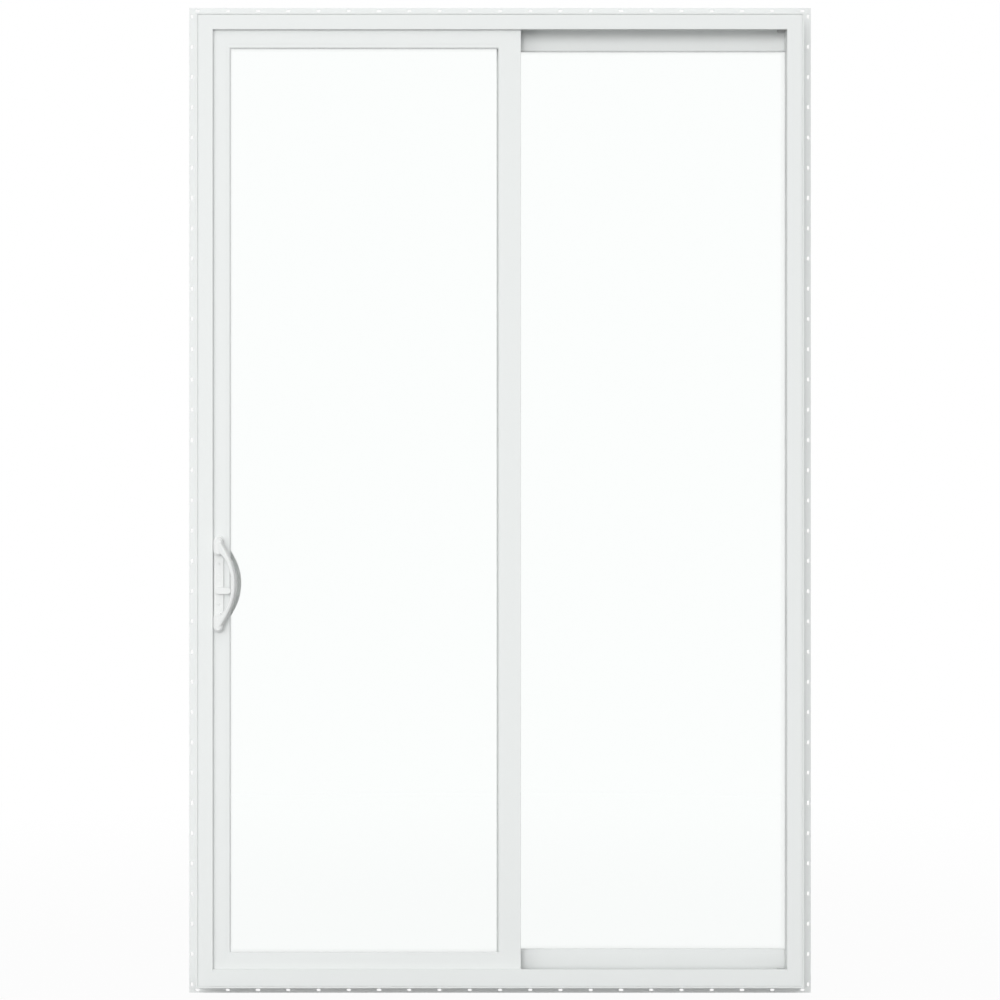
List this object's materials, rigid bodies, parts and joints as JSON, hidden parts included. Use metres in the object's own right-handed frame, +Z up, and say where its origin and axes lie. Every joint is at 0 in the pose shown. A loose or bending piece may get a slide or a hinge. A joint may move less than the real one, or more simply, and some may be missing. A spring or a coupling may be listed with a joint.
{
  "type": "glass sliding patio door",
  "caption": "White vinyl sliding patio door in its frame: a glazed panel rolls behind the room side leg beside a fixed glazed panel, with nailing fin and bow handle.",
  "frame": {"origin": "middle of the sill's underside, on the wall face of the nailing fin", "axes": "+X right as seen from the room, +Y out through the wall, +Z up"},
  "size_m": [1.5664, 0.1542, 2.4807],
  "materials": {
    "white_vinyl": "satin white extruded vinyl",
    "fin_vinyl": "matte white vinyl fin",
    "clear_glass": "clear float glass",
    "spacer_bar": "mill finish spacer bar",
    "bare_metal": "satin anodised metal",
    "roller_nylon": "moulded nylon",
    "soft_rubber": "soft pale rubber",
    "grey_pile": "woven pile seal",
    "handle_paint": "white enamel on die cast metal"
  },
  "bodies": {
    "frame": {"frame_jamb_left": "white_vinyl", "frame_jamb_right": "white_vinyl", "frame_sill": "white_vinyl", "frame_head": "white_vinyl", "nail_fin_left": "fin_vinyl", "nail_fin_right": "fin_vinyl", "nail_fin_bottom": "fin_vinyl", "nail_fin_top": "fin_vinyl", "roller_rail": "bare_metal", "jamb_cover_right": "white_vinyl", "panel_bumper": "soft_rubber", "frame_pile_seal": "grey_pile", "lock_keeper": "bare_metal", "fixed_meeting_stile": "white_vinyl", "fixed_jamb_stile": "white_vinyl", "fixed_bottom_rail": "white_vinyl", "fixed_top_rail": "white_vinyl", "fixed_glazing_bead": "white_vinyl", "fixed_pane_inner": "clear_glass", "fixed_pane_outer": "clear_glass", "fixed_glass_spacer": "spacer_bar", "fixed_interlock_hook": "white_vinyl"},
    "sliding_panel": {"sliding_lock_stile": "white_vinyl", "sliding_meeting_stile": "white_vinyl", "sliding_bottom_rail": "white_vinyl", "sliding_top_rail": "white_vinyl", "sliding_glazing_bead": "white_vinyl", "sliding_pane_inner": "clear_glass", "sliding_pane_outer": "clear_glass", "sliding_glass_spacer": "spacer_bar", "sliding_interlock_hook": "white_vinyl", "roller_housings": "bare_metal", "roller_wheels": "roller_nylon", "handle_plate": "handle_paint", "handle_grip": "handle_paint", "outside_pull": "handle_paint", "lock_faceplate": "bare_metal"},
    "thumb_latch": {"thumb_latch": "handle_paint"}
  },
  "joints": [
    {"name": "panel_slide", "type": "slide", "parent": "frame", "child": "sliding_panel", "axis": [1, 0, 0], "range_m": [0, 0.635]},
    {"name": "thumb_latch_turn", "type": "hinge", "parent": "sliding_panel", "child": "thumb_latch", "pos_m": [-0.6995, -0.0833, 0.988], "axis": [0, 1, 0], "range_deg": [0, 90]}
  ]
}
